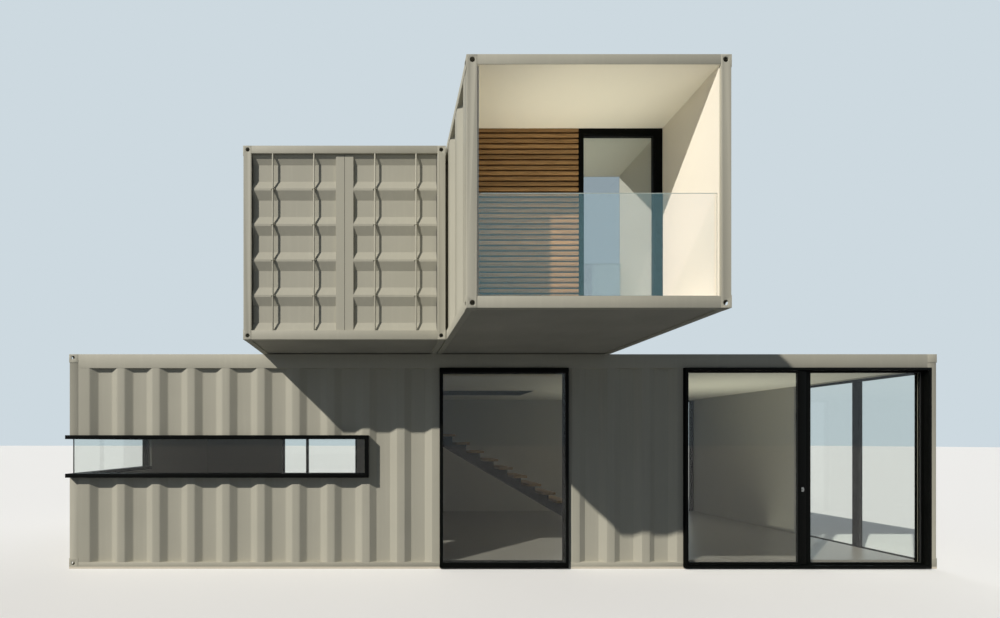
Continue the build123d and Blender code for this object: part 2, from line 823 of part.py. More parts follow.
def short_walls(name, left, front):
    """Corrugated side walls and rear wall of a short box."""
    right, back = left + box_width, front + short_length
    rise = (upper_floor, upper_top - short_top_rail)
    span = (front + short_post, back - short_post)
    clear = span[1] - span[0]
    across = (-(right - short_post), -(left + short_post))
    with BuildPart() as walls:
        left_plane = wall_plane("left", left + post_setback)
        right_plane = wall_plane("right", right - post_setback)
        corrugated(left_plane, -span[1], clear, (-span[1], -span[0]), rise, short_shape)
        corrugated(right_plane, span[0], clear, span, rise, short_shape)
        corrugated(wall_plane("back", back), across[0], across[1] - across[0], across, rise, short_shape)
        stair_passage()
    keep(walls, f"{name}_walls")


def short_floor_and_roof(name, left, front):
    """Floor with its flat underside, and the roof sheet, inside a short box's rails."""
    right, back = left + box_width, front + short_length
    side_in = post_setback + rail_depth
    low = (left + side_in, front + rail_depth, upper_floor - short_floor)
    high = (right - side_in, back - rail_depth, upper_floor)
    with BuildPart() as floor:
        block(low, high)
        notch_corners(box_corners(left, front), short_post, ground_height, upper_floor)
        stair_passage()
    keep(floor, f"{name}_floor")
    top = upper_top - short_roof_drop
    with BuildPart() as roof:
        with BuildSketch(Plane(origin=(low[0], 0, top), x_dir=(0, 1, 0), z_dir=(1, 0, 0))) as fold:
            with BuildLine():
                points = wave(low[1], high[1] - low[1], *roof_shape)
                Polyline(*[(x, -y) for x, y in points], close=True)
            make_face()
        extrude(fold.sketch, amount=high[0] - low[0])
        notch_corners(box_corners(left, front), short_post, upper_top - short_top_rail, upper_top)
    keep(roof, f"{name}_roof")


left_box_x = left_end + left_box_left
left_box_y = front_face + left_box_front
right_box_x = left_box_x + box_width + party_gap
right_box_y = front_face + right_box_front

short_frame("left_box", left_box_x, left_box_y)
short_frame("right_box", right_box_x, right_box_y, short_lining)
short_walls("left_box", left_box_x, left_box_y)
short_walls("right_box", right_box_x, right_box_y)
short_floor_and_roof("left_box", left_box_x, left_box_y)
short_floor_and_roof("right_box", right_box_x, right_box_y)

# Cargo doors of the left box
door_bottom = upper_floor + door_clear
door_top = upper_top - short_top_rail - door_clear
door_face = left_box_y + door_setback
box_middle = left_box_x + box_width / 2
recess_pitch = (door_top - door_bottom + door_crest) / recesses


def cargo_door(name, edge, centre):
    """One door: a sheet folded into level recesses, welded to a stile at the middle of the box."""
    low_x, high_x = sorted((edge, centre))
    stile_x = sorted((centre, centre + (door_stile if edge > centre else -door_stile)))
    with BuildPart() as door:
        with BuildSketch(Plane(origin=(low_x, 0, 0), x_dir=(0, 1, 0), z_dir=(1, 0, 0))) as fold:
            with BuildLine():
                front_line = []
                for number in range(recesses):
                    low = door_bottom + number * recess_pitch
                    high = low + recess_pitch - door_crest
                    front_line.append((door_face, low))
                    front_line.append((door_face + door_depth, low + door_slope))
                    front_line.append((door_face + door_depth, high - door_slope))
                    front_line.append((door_face, high))
                back_line = [(y + sheet, z) for y, z in front_line]
                Polyline(*front_line, *back_line[::-1], close=True)
            make_face()
        extrude(fold.sketch, amount=high_x - low_x)
        block(
            (stile_x[0], door_face, door_bottom),
            (stile_x[1], door_face + door_depth + sheet, door_top),
        )
    keep(door, name)


door_edge = box_width / 2 - short_post - door_clear
cargo_door("left_box_door_left", box_middle - door_edge, box_middle - door_clear / 2)
cargo_door("left_box_door_right", box_middle + door_edge, box_middle + door_clear / 2)

with BuildPart() as rods:
    rod_y = door_face - rod_stand_off - rod_diameter / 2
    rise = (upper_floor, upper_top - short_top_rail)
    for offset in (-rod_outer, -rod_inner, rod_inner, rod_outer):
        with BuildSketch(Plane(origin=(box_middle + offset, rod_y, rise[0]))) as section:
            RegularPolygon(rod_diameter / 2, rod_sides)
        extrude(section.sketch, amount=rise[1] - rise[0])
        for number in range(1, recesses):
            level = door_bottom + number * recess_pitch - door_crest / 2
            block(
                (box_middle + offset - bracket_width / 2, rod_y, level - bracket_height / 2),
                (box_middle + offset + bracket_width / 2, door_face, level + bracket_height / 2),
            )
keep(rods, "left_box_lock_rods")

# Terrace of the right box: lining, slatted wall, sliding door and glass guard
right_box_right = right_box_x + box_width
lined_x = (right_box_x + short_post + short_lining, right_box_right - short_post - thin_lining)
terrace_wall_y = right_box_y + terrace_depth
terrace_ceiling = upper_top - short_top_rail
lining_y = (right_box_y + lining_set_back, right_box_y + short_length - rear_lining_inset)
terrace_rise = (upper_floor, terrace_ceiling)
with BuildPart() as terrace_lining:
    low_z, high_z = terrace_rise
    board_x = (lined_x[0] - short_lining, lined_x[1] + thin_lining)
    block((board_x[0], lining_y[0], low_z), (lined_x[0], lining_y[1], high_z))
    block((lined_x[1], lining_y[0], low_z), (board_x[1], lining_y[1], high_z))
    block((lined_x[0], lining_y[1] - short_lining, low_z), (lined_x[1], lining_y[1], high_z))
    block((board_x[0], right_box_y + rail_wall, high_z), (board_x[1], lining_y[1], high_z + short_lining))
    stair_passage()
keep(terrace_lining, "right_box_lining")

split_x = lined_x[1] - terrace_door_width
with BuildPart() as slat_screen:
    back_y = terrace_wall_y + slat_depth
    block((lined_x[0], back_y, terrace_rise[0]), (split_x, back_y + slat_batten, terrace_rise[1]))
    for number in range(slat_count):
        top = terrace_rise[1] - number * slat_pitch
        block((lined_x[0], terrace_wall_y, top - slat_height), (split_x, back_y, top))
keep(slat_screen, "slat_screen")

terrace_low = (split_x, terrace_wall_y, terrace_rise[0])
terrace_high = (lined_x[1], terrace_wall_y + terrace_frame_depth, terrace_rise[1])
with BuildPart() as terrace_door:
    block(terrace_low, terrace_high)
    cut_low = (split_x + terrace_bar, terrace_wall_y, terrace_rise[0] + terrace_bar)
    cut_high = (lined_x[1] - terrace_side_bar, terrace_high[1], terrace_rise[1] - terrace_top_bar)
    block(cut_low, cut_high, mode=Mode.SUBTRACT)
keep(terrace_door, "terrace_door_frame")
with BuildPart() as terrace_glass:
    middle = terrace_wall_y + terrace_frame_depth / 2
    block((cut_low[0], middle - glass / 2, cut_low[2]), (cut_high[0], middle + glass / 2, cut_high[2]))
keep(terrace_glass, "terrace_door_glass")

with BuildPart() as guard:
    low_y = right_box_y + lining_set_back + balustrade_set
    low = (lined_x[0], low_y, upper_floor)
    block(low, (lined_x[1], low_y + glass, upper_floor + balustrade_height))
keep(guard, "terrace_guard_glass")
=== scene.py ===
"""Dresses a packed container house: finishes, rounded steel, seals, slats, treads and a pale stage.

Lengths are in metres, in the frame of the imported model: X to the right, Y to the back, Z up.
"""

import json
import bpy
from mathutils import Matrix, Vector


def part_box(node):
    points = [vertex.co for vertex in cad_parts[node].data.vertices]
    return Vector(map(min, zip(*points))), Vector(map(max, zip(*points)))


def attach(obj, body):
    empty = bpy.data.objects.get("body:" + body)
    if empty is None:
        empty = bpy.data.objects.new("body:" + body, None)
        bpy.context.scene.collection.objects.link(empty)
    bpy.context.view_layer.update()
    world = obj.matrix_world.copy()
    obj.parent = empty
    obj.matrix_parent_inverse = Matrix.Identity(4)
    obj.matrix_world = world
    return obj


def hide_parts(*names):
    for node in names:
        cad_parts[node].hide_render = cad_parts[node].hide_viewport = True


bl_info = {
    "name": "Container House Dressing",
    "version": (1, 0, 0),
    "blender": (4, 5, 0),
    "location": "3D View > Sidebar > House",
    "description": "Finishes and fine pieces for a house of shipping containers",
    "category": "Object",
}

from math import radians

import bmesh
import bpy
from bpy.props import FloatProperty, FloatVectorProperty, PointerProperty
from mathutils import Vector

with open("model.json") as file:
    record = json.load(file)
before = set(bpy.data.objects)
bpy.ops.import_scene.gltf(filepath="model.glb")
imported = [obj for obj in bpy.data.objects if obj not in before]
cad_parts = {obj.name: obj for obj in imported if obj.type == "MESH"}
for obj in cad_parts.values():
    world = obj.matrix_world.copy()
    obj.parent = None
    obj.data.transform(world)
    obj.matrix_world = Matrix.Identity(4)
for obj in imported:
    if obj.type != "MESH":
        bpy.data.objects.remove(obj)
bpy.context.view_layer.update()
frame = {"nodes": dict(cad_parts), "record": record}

MM = 0.001
QUARTER_TURN = radians(90)

# Points closer than this are one, and faces that turn less than this are one flat face
MERGE_DISTANCE = 0.02 * MM
FLAT_TURN = radians(0.5)
# Heights closer than this are one level, which is also what this many decimal places tell apart
LEVEL_TOLERANCE = 0.1 * MM
LEVEL_PLACES = 4
# An edge that turns more than this is rounded, and one that turns less than this is shaded smooth
SHARP_TURN = radians(40)
SMOOTH_TURN = radians(35)
# Between the turn from side to side of a six-sided pin and the turn at its rim
PIN_RIM_TURN = radians(65)
# The turns of a corrugated sheet's folds, and the least rise of an upright edge one unit long
LEAST_FOLD = radians(10)
MOST_FOLD = radians(60)
UPRIGHT = 0.99
# Golden section, whose multiples give neighbouring boards tones that differ well
GOLDEN_SHARE = 0.618034

# Small sizes that a user has no need to change
SMALL_EDGE = 1 * MM
STRAP_WALL = 4 * MM
BOLT_RADIUS = 4 * MM
BOLT_LENGTH = 5 * MM
BOLT_INSET = 6 * MM
BOLT_STAND = 1.5 * MM
ROUND_SIDES = 24
BOLT_SIDES = 6
GASKET_INSET = 4 * MM
CHEEK_WALL = 6 * MM
GUARD_EDGE_PROUD = 0.5 * MM
GUARD_EDGE_HEIGHT = 4 * MM

# The stage's fixed sizes. The camera sees CLIP_REACHES times as far as the floor reaches, a lamp wider
# than WIDE_LAMP is soft, and a panel lies PANEL_LIFT over its floor.
SENSOR_WIDTH = 36
CLIP_REACHES = 4
LAMP_HEIGHT = 20
WIDE_LAMP = radians(10)
PANEL_LIFT = 0.05
TERRACE_PANEL_WIDTH_SHARE = 0.8
TERRACE_PANEL_DEPTH_SHARE = 0.5
ROOM_PANEL_INSET = 1.7
ROOM_PANEL_DEPTH = 1.6
# Rays that show a surface, straight or by way of glass or gloss, and rays that only carry light
SEEN_RAYS = ("Is Camera Ray", "Is Transmission Ray", "Is Glossy Ray")
LIGHTING_RAYS = ("Is Shadow Ray", "Is Diffuse Ray")


def linear(code):
    """Turns an sRGB hex value into the linear colour that shaders take."""
    shares = [int(code[place:place + 2], 16) / 255 for place in (0, 2, 4)]
    return tuple(share / 12.92 if share <= 0.04045 else ((share + 0.055) / 1.055) ** 2.4 for share in shares)


def colour_setting(name, description, code):
    """A colour that the panel shows, with its default given as a hex value."""
    return FloatVectorProperty(
        name=name, description=description, subtype="COLOR", size=3, min=0, max=1, default=linear(code)
    )


def length_setting(name, description, millimetres):
    """A length that the panel shows, with its default given in millimetres."""
    return FloatProperty(name=name, description=description, unit="LENGTH", min=0, default=millimetres * MM)


def lamp_setting(name, description, strength):
    """The strength of a lamp, as the panel shows it."""
    return FloatProperty(name=name, description=description, default=strength, min=0)


class HouseColours(bpy.types.PropertyGroup):
    """Colours of the house's finishes."""

    paint: colour_setting("Box paint", "Paint of the steel boxes", "AEAB9C")
    frames: colour_setting("Frames", "Powder coat of window and door frames", "090A09")
    glass: colour_setting("Glass", "Tint of the panes", "F1F4F2")
    lining: colour_setting("Lining", "Boards of the ceilings and the upper boxes", "F8F1E1")
    room: colour_setting("Room walls", "Wall boards of the ground floor", "B4AFA3")
    underside: colour_setting("Underside", "Coating under the upper boxes", "A5A296")
    floor: colour_setting("Floor", "Screed of the ground floor", "8E8A83")
    slab: colour_setting("Slab", "Cast slab under the house", "DDD3BF")
    slat_dark: colour_setting("Slats, dark", "Darkest slats", "725434")
    slat_light: colour_setting("Slats, light", "Lightest slats", "BE9463")
    tread: colour_setting("Treads", "Timber of the stair", "A08050")
    steel: colour_setting("Lock", "Satin steel of the lock", "8C8E8D")
    tile: colour_setting("Terrace tiles", "Stoneware tiles of the terrace", "E9E3D5")
    rubber: colour_setting("Seals", "Rubber seals", "0D0E0E")


class HouseSizes(bpy.types.PropertyGroup):
    """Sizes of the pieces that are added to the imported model."""

    edge_radius: length_setting("Steel edge", "Rounding of posts, castings and rails", 2)
    fold_radius: length_setting("Sheet fold", "Rounding of the folds in corrugated sheet", 14)
    frame_radius: length_setting("Frame edge", "Rounding of window frames", 2)
    seal_width: length_setting("Seal width", "How far a pane's seal reaches in from the frame", 5)
    seal_depth: length_setting("Seal depth", "How far a pane's seal stands off the glass", 6)
    slat_pitch: length_setting("Slat pitch", "From one slat to the next", 59.3)
    slat_height: length_setting("Slat height", "Height of one slat", 39)
    slat_depth: length_setting("Slat depth", "Depth of one slat", 30)
    board_radius: length_setting("Board edge", "Rounding of slats and treads", 3)
    weld_radius: length_setting("Weld bead", "Radius of the bead where sheet meets frame", 3.5)
    rod_radius: length_setting("Lock rod", "Radius of a cargo door's lock rod", 10)
    clamp_width: length_setting("Rod clamp", "Width of the clamps that hold a lock rod", 50)
    clamp_height: length_setting("Clamp height", "Height of the clamps that hold a lock rod", 12)
    gasket_depth: length_setting("Door gasket", "Depth of the rubber gasket round a cargo door", 22)
    joint_width: length_setting("Glass joint", "Silicone joint where the ribbon window's panes meet", 8)
    channel_height: length_setting("Guard channel", "Height of the channel that holds the glass guard", 12)
    tile_size: length_setting("Tile", "Side of a terrace tile", 550)
    tile_thickness: length_setting("Tile thickness", "Thickness of a terrace tile with its bed", 12)
    tile_joint: length_setting("Tile joint", "Joint between terrace tiles", 4)


class HouseStage(bpy.types.PropertyGroup):
    """Camera, light and floor."""

    eye: FloatVectorProperty(
        name="Eye",
        description="Where the camera stands",
        subtype="TRANSLATION",
        size=3,
        default=(-1.724, -8.843, 1.784),
    )
    lens: FloatProperty(name="Lens", description="Focal length on a 36 mm sensor", default=16.4, min=1)
    shift: FloatVectorProperty(
        name="Shift", description="Lens shift to the right and up", size=2, default=(0.1197, 0.1328)
    )
    sun_way: FloatVectorProperty(
        name="Sun way", description="Which way the main light travels", size=3, default=(2.55, 2.2, -2.49)
    )
    sun_strength: lamp_setting("Sun", "Strength of the main light", 3.8)
    sun_angle: FloatProperty(
        name="Sun angle", description="Width of the main light", subtype="ANGLE", default=radians(0.9), min=0
    )
    fill: lamp_setting("Fill", "Strength of the light from all round", 0.1)
    glow: lamp_setting("Glow", "Strength of the wide soft light beside the sun", 0.35)
    back_light: lamp_setting("Back light", "Strength of the soft light from behind", 1.0)
    room_lamp: lamp_setting("Room lamp", "Power of the soft lamp behind the sliding door", 19)
    terrace_lamp: lamp_setting("Terrace lamp", "Power of the soft lamp that lifts the terrace's ceiling", 5)
    floor_reach: length_setting("Floor reach", "Half the side of the pale floor", 200000)


def feed(tree, node, inputs):
    """Sets a node's inputs, each to a value or to what another node's socket gives."""
    for name, value in inputs.items():
        if isinstance(value, bpy.types.NodeSocket):
            tree.links.new(value, node.inputs[name])
        else:
            node.inputs[name].default_value = value


def add_node(tree, kind, inputs=None, **settings):
    """Adds a node with its settings and feeds its inputs."""
    made = tree.nodes.new(kind)
    for name, value in settings.items():
        setattr(made, name, value)
    feed(tree, made, inputs or {})
    return made


def per_metre(millimetres):
    """The scale that gives a pattern features of this size in Object coordinates."""
    return 1000 / millimetres


def opaque(colour):
    """A colour with full alpha, as colour sockets take it."""
    return (*colour[:3], 1.0)


def shaded(colour, factor):
    """A colour made lighter or darker by a factor."""
    return opaque([min(1.0, share * factor) for share in colour[:3]])


def new_material(name):
    """An empty node material, its tree, its Object coordinates and the shader that it shows."""
    made = bpy.data.materials.new(name)
    made.use_nodes = True
    tree = made.node_tree
    tree.nodes.clear()
    place = add_node(tree, "ShaderNodeTexCoord").outputs["Object"]
    shader = add_node(tree, "ShaderNodeBsdfPrincipled")
    add_node(tree, "ShaderNodeOutputMaterial", {"Surface": shader.outputs["BSDF"]})
    return made, tree, place, shader


def patches(tree, place, colour, across, detail, dark, light):
    """Soft patches, so many millimetres across, from a darker to a lighter tone of a colour.

    Gives the colour, and the pattern itself for what else follows it.
    """
    scale = per_metre(across)
    noise = add_node(tree, "ShaderNodeTexNoise", {"Vector": place, "Scale": scale, "Detail": detail})
    pattern = noise.outputs["Fac"]
    ends = {"Factor": pattern, "A": shaded(colour, dark), "B": shaded(colour, light)}
    tone = add_node(tree, "ShaderNodeMix", ends, data_type="RGBA")
    return tone.outputs["Result"], pattern


def rough_skin(tree, place, across, detail, strength, depth, under=None):
    """Small bumps, so many millimetres across and deep, which can lie on coarser ones.

    Gives the normal, and the pattern itself for what else follows it.
    """
    scale = per_metre(across)
    noise = add_node(tree, "ShaderNodeTexNoise", {"Vector": place, "Scale": scale, "Detail": detail})
    pattern = noise.outputs["Fac"]
    bump = add_node(tree, "ShaderNodeBump", {"Height": pattern, "Strength": strength, "Distance": depth * MM})
    if under:
        feed(tree, bump, {"Normal": under})
    return bump.outputs["Normal"], pattern


def varied(tree, tone, number, darkest, lightest):
    """A tone that differs a little from one board or tile to the next, by its own number."""
    factor = add_node(tree, "ShaderNodeMapRange", {"Value": number, "To Min": darkest, "To Max": lightest})
    pair = {0: tone, 1: factor.outputs["Result"]}
    return add_node(tree, "ShaderNodeVectorMath", pair, operation="MULTIPLY").outputs["Vector"]


def any_ray(tree, kinds):
    """1 for rays of any of these kinds, and 0 for all others."""
    ray = add_node(tree, "ShaderNodeLightPath").outputs
    share = ray[kinds[0]]
    for kind in kinds[1:]:
        larger = add_node(tree, "ShaderNodeMath", {0: share, 1: ray[kind]}, operation="MAXIMUM")
        share = larger.outputs["Value"]
    return share


def marine_paint(colours):
    """Two-part marine paint with a low satin sheen, sprayed on corrugated steel.

    It hides the metal, with a fine orange peel, slight waves in the sheet, pale rain streaks
    down the walls and a little dust low down.
    """
    made, tree, place, shader = new_material("marine_paint")
    tone, _ = patches(tree, place, colours.paint, across=900, detail=4.0, dark=0.92, light=1.08)
    streak = (per_metre(45), per_metre(45), per_metre(1300))
    stretched = add_node(tree, "ShaderNodeMapping", {"Vector": place, "Scale": streak}).outputs["Vector"]
    rain = add_node(tree, "ShaderNodeTexNoise", {"Vector": stretched, "Scale": 1.0, "Detail": 3.0})
    rain_share = add_node(
        tree,
        "ShaderNodeMapRange",
        {"Value": rain.outputs["Fac"], "From Min": 0.52, "From Max": 0.78, "To Max": 0.16},
    )
    streaked = add_node(
        tree,
        "ShaderNodeMix",
        {"Factor": rain_share.outputs["Result"], "A": tone, "B": shaded(colours.paint, 1.3)},
        data_type="RGBA",
    )
    height = add_node(tree, "ShaderNodeSeparateXYZ", {"Vector": place}).outputs["Z"]
    low = add_node(
        tree, "ShaderNodeMapRange", {"Value": height, "From Max": 0.5, "To Min": 0.22, "To Max": 0.0}
    )
    speckle = add_node(tree, "ShaderNodeTexNoise", {"Vector": place, "Scale": per_metre(60), "Detail": 5.0})
    dust = add_node(
        tree, "ShaderNodeMath", {0: low.outputs["Result"], 1: speckle.outputs["Fac"]}, operation="MULTIPLY"
    )
    dust_colour = opaque(linear("B9AF99"))
    dusty = add_node(
        tree,
        "ShaderNodeMix",
        {"Factor": dust.outputs["Value"], "A": streaked.outputs["Result"], "B": dust_colour},
        data_type="RGBA",
    ).outputs["Result"]
    sheen = add_node(
        tree, "ShaderNodeMapRange", {"Value": speckle.outputs["Fac"], "To Min": 0.5, "To Max": 0.66}
    ).outputs["Result"]
    waves, _ = rough_skin(tree, place, across=420, detail=1.0, strength=0.5, depth=6)
    # Real orange peel is about 2 mm across. It is drawn at 5 mm, so that a close view shows it.
    skin, _ = rough_skin(tree, place, across=5, detail=2.0, strength=0.25, depth=0.4, under=waves)
    feed(tree, shader, {"Base Color": dusty, "Roughness": sheen, "Normal": skin, "Specular IOR Level": 0.2})
    return made


def powder_coat(colours):
    """Polyester powder coat on aluminium: near black, with a fine even grain and a soft sheen."""
    made, tree, place, shader = new_material("powder_coat")
    tone, _ = patches(tree, place, colours.frames, across=250, detail=3.0, dark=0.8, light=1.35)
    # The real grain is under 1 mm. It is drawn at 2 mm, so that a close view shows it.
    skin, grain = rough_skin(tree, place, across=2, detail=1.0, strength=0.2, depth=0.2)
    sheen = add_node(tree, "ShaderNodeMapRange", {"Value": grain, "To Min": 0.36, "To Max": 0.5})
    feed(tree, shader, {"Base Color": tone, "Roughness": sheen.outputs["Result"]})
    feed(tree, shader, {"Normal": skin, "Specular IOR Level": 0.03})
    return made


def pane(name, tint, mirrored, gloss=0.5, ior=1.52, metal=0.0):
    """A clear pane of soda-lime glass that lets light straight through to what is behind it."""
    made, tree, _, shader = new_material(name)
    feed(
        tree,
        shader,
        {
            "Base Color": opaque(tint),
            "Metallic": metal,
            "Roughness": 0.0,
            "IOR": ior,
            "Specular IOR Level": gloss,
            "Specular Tint": opaque(mirrored),
            "Transmission Weight": 1.0,
        },
    )
    pass_light(tree, shader)
    return made


def pass_light(tree, shader):
    """Lets shadow rays and light that bounces go straight through a clear piece."""
    shown = shader.outputs["BSDF"]
    output = shown.links[0].to_node
    straight = add_node(tree, "ShaderNodeBsdfTransparent", {"Color": opaque(linear("FAFBFA"))})
    ways = {0: any_ray(tree, LIGHTING_RAYS), 1: shown, 2: straight.outputs["BSDF"]}
    feed(tree, output, {"Surface": add_node(tree, "ShaderNodeMixShader", ways).outputs["Shader"]})


def float_glass(colours):
    """Clear float glass with a coating against glare, and its faint green-grey tint."""
    return pane("float_glass", tint=colours.glass, mirrored=(0.45, 0.45, 0.45), gloss=0.1)


def coated_glass(colours):
    """Low-iron guard glass with a hard coating, which lays a thin pale blue veil over what is behind it."""
    return pane("coated_glass", tint=linear("FCFDFD"), mirrored=linear("C4F8FA"), ior=1.85)


def solar_glass(colours):
    """Solar control glass of the terrace door: a thin metal oxide film mirrors much of the light."""
    return pane("solar_glass", tint=linear("CBD3D6"), mirrored=(1.0, 1.0, 1.0), metal=0.65)


def ground_glass(colours):
    """The guard's top edge, ground and polished, in a pale colour that is a painted highlight: the light that
    such an edge catches.
    """
    made, tree, place, shader = new_material("ground_glass")
    # A wheel's marks are under 1 mm apart. They are drawn at 3 mm, so that a close view shows them.
    wheel = add_node(tree, "ShaderNodeTexNoise", {"Vector": place, "Scale": per_metre(3), "Detail": 1.0})
    sheen = add_node(
        tree, "ShaderNodeMapRange", {"Value": wheel.outputs["Fac"], "To Min": 0.25, "To Max": 0.4}
    )
    feed(tree, shader, {"Base Color": opaque(linear("B4BFBB")), "Roughness": sheen.outputs["Result"]})
    pass_light(tree, shader)
    return made


def board_paint(name, colour):
    """Matt emulsion rolled on plasterboard, with a roller's stipple."""
    made, tree, place, shader = new_material(name)
    tone, _ = patches(tree, place, colour, across=700, detail=3.0, dark=0.96, light=1.04)
    # A roller leaves a stipple of about 2 mm. It is drawn at 4 mm, so that a close view shows it.
    skin, _ = rough_skin(tree, place, across=4, detail=2.0, strength=0.3, depth=0.4)
    feed(tree, shader, {"Base Color": tone, "Roughness": 0.85, "Normal": skin})
    return made


def warm_white_board(colours):
    """Warm white emulsion of the ceilings and the upper boxes."""
    return board_paint("warm_white_emulsion", colours.lining)


def grey_board(colours):
    """Warm grey emulsion of the ground floor's walls."""
    return board_paint("warm_grey_emulsion", colours.room)


def underseal(colours):
    """Bitumen coating under the upper boxes: uneven, with a low sheen."""
    made, tree, place, shader = new_material("underseal")
    tone, _ = patches(tree, place, colours.underside, across=600, detail=5.0, dark=0.75, light=1.3)
    skin, lumps = rough_skin(tree, place, across=12, detail=3.0, strength=0.4, depth=1)
    sheen = add_node(tree, "ShaderNodeMapRange", {"Value": lumps, "To Min": 0.45, "To Max": 0.7})
    feed(tree, shader, {"Base Color": tone, "Roughness": sheen.outputs["Result"]})
    feed(tree, shader, {"Normal": skin, "Specular IOR Level": 0.15})
    return made


def polished_screed(colours):
    """Power-floated cement screed: cloudy grey with fine grit and a low polish."""
    made, tree, place, shader = new_material("polished_screed")
    tone, cloud = patches(tree, place, colours.floor, across=380, detail=6.0, dark=0.8, light=1.2)
    grit = add_node(tree, "ShaderNodeTexVoronoi", {"Vector": place, "Scale": per_metre(6)})
    specks = add_node(
        tree,
        "ShaderNodeMapRange",
        {"Value": grit.outputs["Distance"], "From Max": 0.25, "To Min": 0.35, "To Max": 0.0},
    )
    gritty = add_node(
        tree,
        "ShaderNodeMix",
        {"Factor": specks.outputs["Result"], "A": tone, "B": shaded(colours.floor, 0.6)},
        data_type="RGBA",
    )
    sheen = add_node(tree, "ShaderNodeMapRange", {"Value": cloud, "To Min": 0.22, "To Max": 0.42})
    feed(tree, shader, {"Base Color": gritty.outputs["Result"], "Roughness": sheen.outputs["Result"]})
    return made


def cast_concrete(colours):
    """Concrete cast against a board: pale and matt, with small pores."""
    made, tree, place, shader = new_material("cast_concrete")
    tone, _ = patches(tree, place, colours.slab, across=300, detail=6.0, dark=0.86, light=1.1)
    pores = add_node(tree, "ShaderNodeTexVoronoi", {"Vector": place, "Scale": per_metre(22)})
    dents = add_node(tree, "ShaderNodeMapRange", {"Value": pores.outputs["Distance"], "From Max": 0.2})
    relief = {"Height": dents.outputs["Result"], "Strength": 0.5, "Distance": 1.5 * MM}
    skin = add_node(tree, "ShaderNodeBump", relief).outputs["Normal"]
    feed(tree, shader, {"Base Color": tone, "Roughness": 0.9, "Normal": skin})
    return made


def oiled_timber(name, dark, light, along):
    """Oiled boards: each has its own tone and its own grain, which runs along this axis."""
    made, tree, place, shader = new_material(name)
    board = add_node(tree, "ShaderNodeAttribute", attribute_name="board").outputs["Fac"]
    shift = add_node(tree, "ShaderNodeCombineXYZ", {"X": board, "Y": board, "Z": board})
    own_place = add_node(
        tree, "ShaderNodeVectorMath", {0: place, 1: shift.outputs["Vector"]}, operation="ADD"
    )
    # The grain lines of such timber are 1 to 3 mm apart. They are drawn at 7 mm, so that they show.
    scale = [per_metre(7)] * 3
    scale[along] = per_metre(260)
    stretch = add_node(tree, "ShaderNodeMapping", {"Vector": own_place.outputs["Vector"], "Scale": scale})
    grain = add_node(
        tree,
        "ShaderNodeTexNoise",
        {"Vector": stretch.outputs["Vector"], "Scale": 1.0, "Detail": 4.0, "Distortion": 0.6},
    ).outputs["Fac"]
    spread = add_node(
        tree, "ShaderNodeMapRange", {"Value": grain, "From Min": 0.3, "From Max": 0.7, "To Max": 0.75}
    )
    tone = add_node(
        tree,
        "ShaderNodeMix",
        {"Factor": spread.outputs["Result"], "A": opaque(light), "B": opaque(dark)},
        data_type="RGBA",
    )
    toned = varied(tree, tone.outputs["Result"], board, darkest=0.8, lightest=1.15)
    sheen = add_node(tree, "ShaderNodeMapRange", {"Value": grain, "To Min": 0.45, "To Max": 0.65})
    relief = {"Height": grain, "Strength": 0.35, "Distance": 0.6 * MM}
    skin = add_node(tree, "ShaderNodeBump", relief).outputs["Normal"]
    feed(tree, shader, {"Base Color": toned, "Roughness": sheen.outputs["Result"]})
    feed(tree, shader, {"Normal": skin, "Specular IOR Level": 0.2})
    return made


def slat_timber(colours):
    """Thermally treated softwood slats, oiled: warm brown, each a little different."""
    return oiled_timber("slat_timber", colours.slat_dark, colours.slat_light, along=0)


def tread_timber(colours):
    """Dark stained oak treads, oiled, with the grain across the stair."""
    return oiled_timber("tread_timber", shaded(colours.tread, 0.55), colours.tread, along=1)


def satin_steel(colours):
    """Brushed stainless steel of the lock: fine upright lines that draw out its gleam."""
    made, tree, place, shader = new_material("satin_steel")
    # Real brush lines are about 0.1 mm apart. They are drawn at 0.8 mm, so that a close view shows them.
    brushed = (per_metre(0.8), per_metre(0.8), per_metre(30))
    stretch = add_node(tree, "ShaderNodeMapping", {"Vector": place, "Scale": brushed}).outputs["Vector"]
    lines = add_node(tree, "ShaderNodeTexNoise", {"Vector": stretch, "Scale": 1.0, "Detail": 2.0})
    sheen = add_node(
        tree, "ShaderNodeMapRange", {"Value": lines.outputs["Fac"], "To Min": 0.2, "To Max": 0.4}
    ).outputs["Result"]
    feed(tree, shader, {"Base Color": opaque(colours.steel), "Metallic": 1.0, "Roughness": sheen})
    return made


def rubber(colours):
    """Black EPDM rubber, extruded: matt, with a grey bloom in patches."""
    made, tree, place, shader = new_material("epdm_rubber")
    tone, _ = patches(tree, place, colours.rubber, across=80, detail=4.0, dark=0.7, light=1.8)
    feed(tree, shader, {"Base Color": tone, "Roughness": 0.75})
    return made


def stoneware(colours):
    """Fired stoneware tiles: pale and matt, with fine darker grains, each tile a little different."""
    made, tree, place, shader = new_material("stoneware")
    # The grains of such tiles are about 2 mm across. They are drawn at 14 mm, so that they show.
    tone, grains = patches(tree, place, colours.tile, across=14, detail=6.0, dark=0.86, light=1.1)
    tile = add_node(tree, "ShaderNodeAttribute", attribute_name="board").outputs["Fac"]
    toned = varied(tree, tone, tile, darkest=0.94, lightest=1.04)
    relief = {"Height": grains, "Strength": 0.2, "Distance": 0.5 * MM}
    skin = add_node(tree, "ShaderNodeBump", relief).outputs["Normal"]
    feed(tree, shader, {"Base Color": toned, "Roughness": 0.6, "Normal": skin})
    return made


